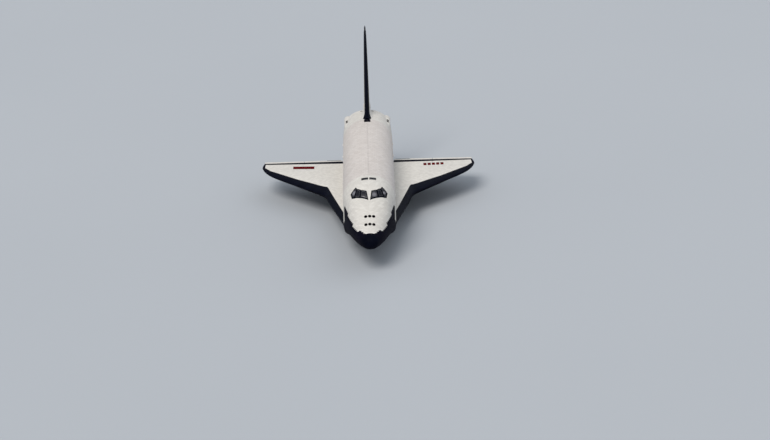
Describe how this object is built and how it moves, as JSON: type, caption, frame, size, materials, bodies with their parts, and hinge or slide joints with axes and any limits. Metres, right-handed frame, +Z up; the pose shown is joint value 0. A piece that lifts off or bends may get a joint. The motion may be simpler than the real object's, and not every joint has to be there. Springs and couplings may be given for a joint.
{
  "type": "space shuttle orbiter",
  "caption": "Delta-winged reusable space plane on its landing gear, with opening payload bay doors, crew hatch, elevons, body flap and split rudder.",
  "frame": {"origin": "on the ground under the middle of the overall box, tyres resting at z 0", "axes": "+Z up, nose towards -Y, port side towards +X"},
  "size_m": [23.92, 36.37, 16.35],
  "materials": {
    "white_tile": "matt ceramic tile and felt",
    "black_tile": "satin ceramic tile",
    "carbon_edge": "satin carbon composite",
    "window_glass": "gloss",
    "radiator_silver": "mirror-like film",
    "cabin_grey": "matt",
    "seat_fabric": "woven",
    "nozzle_metal": "heat-stained",
    "gear_metal": "satin",
    "wheel_metal": "satin",
    "tyre": "matt"
  },
  "bodies": {
    "airframe": {"nose_cap": "carbon_edge", "forward_fuselage": "white_tile", "mid_fuselage": "white_tile", "aft_fuselage": "white_tile", "windscreen_left": "window_glass", "windscreen_right": "window_glass", "roof_window_left": "window_glass", "roof_window_right": "window_glass", "cabin_floor": "cabin_grey", "instrument_panel": "cabin_grey", "seat_left": "seat_fabric", "seat_right": "seat_fabric", "wing_left": "white_tile", "wing_right": "white_tile", "wing_edge_left": "black_tile", "wing_edge_right": "black_tile", "fin": "white_tile", "chute_housing": "white_tile", "thruster_pod_left": "white_tile", "thruster_pod_right": "white_tile", "propulsion_block": "black_tile", "engine_left": "nozzle_metal", "engine_right": "nozzle_metal", "nose_leg": "gear_metal", "main_leg_left": "gear_metal", "main_leg_right": "gear_metal", "nose_gear_door_left": "black_tile", "nose_gear_door_right": "black_tile", "main_gear_door_left": "black_tile", "main_gear_door_right": "black_tile"},
    "door_left": {"bay_door_left": "white_tile", "radiator_left": "radiator_silver"},
    "door_right": {"bay_door_right": "white_tile", "radiator_right": "radiator_silver"},
    "hatch": {"crew_hatch": "white_tile"},
    "elevon_left_inner": {"elevon_inner_left": "white_tile"},
    "elevon_left_outer": {"elevon_outer_left": "white_tile"},
    "elevon_right_inner": {"elevon_inner_right": "white_tile"},
    "elevon_right_outer": {"elevon_outer_right": "white_tile"},
    "flap": {"body_flap": "black_tile"},
    "rudder": {"rudder_spine": "white_tile"},
    "brake_left": {"brake_panel_left": "white_tile"},
    "brake_right": {"brake_panel_right": "white_tile"},
    "nose_steering": {"nose_strut": "gear_metal"},
    "nose_wheels": {"nose_hub": "wheel_metal", "nose_tyre_inner": "tyre", "nose_tyre_outer": "tyre"},
    "main_wheels_left": {"main_left_hub": "wheel_metal", "main_left_tyre_inner": "tyre", "main_left_tyre_outer": "tyre"},
    "main_wheels_right": {"main_right_hub": "wheel_metal", "main_right_tyre_inner": "tyre", "main_right_tyre_outer": "tyre"}
  },
  "joints": [
    {"name": "door_left_hinge", "type": "hinge", "parent": "airframe", "child": "door_left", "pos_m": [2.785, 0, 5.6], "axis": [0, 1, 0], "range_deg": [0, 170]},
    {"name": "door_right_hinge", "type": "hinge", "parent": "airframe", "child": "door_right", "pos_m": [-2.785, 0, 5.6], "axis": [0, -1, 0], "range_deg": [0, 170]},
    {"name": "hatch_hinge", "type": "hinge", "parent": "airframe", "child": "hatch", "pos_m": [2.48862, -12.735, 4.235], "axis": [0.1898, 0.9818, 0], "range_deg": [0, 100]},
    {"name": "elevon_left_inner_hinge", "type": "hinge", "parent": "airframe", "child": "elevon_left_inner", "pos_m": [2.9, 9.035, 2.8], "axis": [0.9979, -0.0556, 0.0318], "range_deg": [-12, 43]},
    {"name": "elevon_left_outer_hinge", "type": "hinge", "parent": "airframe", "child": "elevon_left_outer", "pos_m": [11.7, 8.545, 3.08], "axis": [0.9979, -0.0556, 0.0318], "range_deg": [-12, 43]},
    {"name": "elevon_right_inner_hinge", "type": "hinge", "parent": "airframe", "child": "elevon_right_inner", "pos_m": [-2.9, 9.035, 2.8], "axis": [0.9979, 0.0556, -0.0318], "range_deg": [-12, 43]},
    {"name": "elevon_right_outer_hinge", "type": "hinge", "parent": "airframe", "child": "elevon_right_outer", "pos_m": [-11.7, 8.545, 3.08], "axis": [0.9979, 0.0556, -0.0318], "range_deg": [-12, 43]},
    {"name": "body_flap_hinge", "type": "hinge", "parent": "airframe", "child": "flap", "pos_m": [0, 12.775, 2.46], "axis": [1, 0, 0], "range_deg": [-22, 12]},
    {"name": "rudder_hinge", "type": "hinge", "parent": "airframe", "child": "rudder", "pos_m": [0, 12.365, 9], "axis": [0, 0.5468, 0.8373], "range_deg": [-23, 23]},
    {"name": "brake_left_hinge", "type": "hinge", "parent": "rudder", "child": "brake_left", "pos_m": [0.232, 12.4864, 8.92072], "axis": [0.0199, -0.5467, -0.8371], "range_deg": [0, 43.5]},
    {"name": "brake_right_hinge", "type": "hinge", "parent": "rudder", "child": "brake_right", "pos_m": [-0.232, 12.4864, 8.92072], "axis": [0.0199, 0.5467, 0.8371], "range_deg": [0, 43.5]},
    {"name": "nose_steering_pivot", "type": "hinge", "parent": "airframe", "child": "nose_steering", "pos_m": [0, -8.385, 1], "axis": [0, 0, 1], "range_deg": [-10, 10]},
    {"name": "nose_wheel_spin", "type": "hinge", "parent": "nose_steering", "child": "nose_wheels", "pos_m": [0, -8.385, 0.45], "axis": [1, 0, 0], "continuous": true},
    {"name": "main_wheel_left_spin", "type": "hinge", "parent": "airframe", "child": "main_wheels_left", "pos_m": [3.5, 4.615, 0.625], "axis": [1, 0, 0], "continuous": true},
    {"name": "main_wheel_right_spin", "type": "hinge", "parent": "airframe", "child": "main_wheels_right", "pos_m": [-3.5, 4.615, 0.625], "axis": [1, 0, 0], "continuous": true}
  ],
  "couplings": [
    {"joint": "brake_right_hinge", "follows": "brake_left_hinge", "ratio": 1}
  ]
}
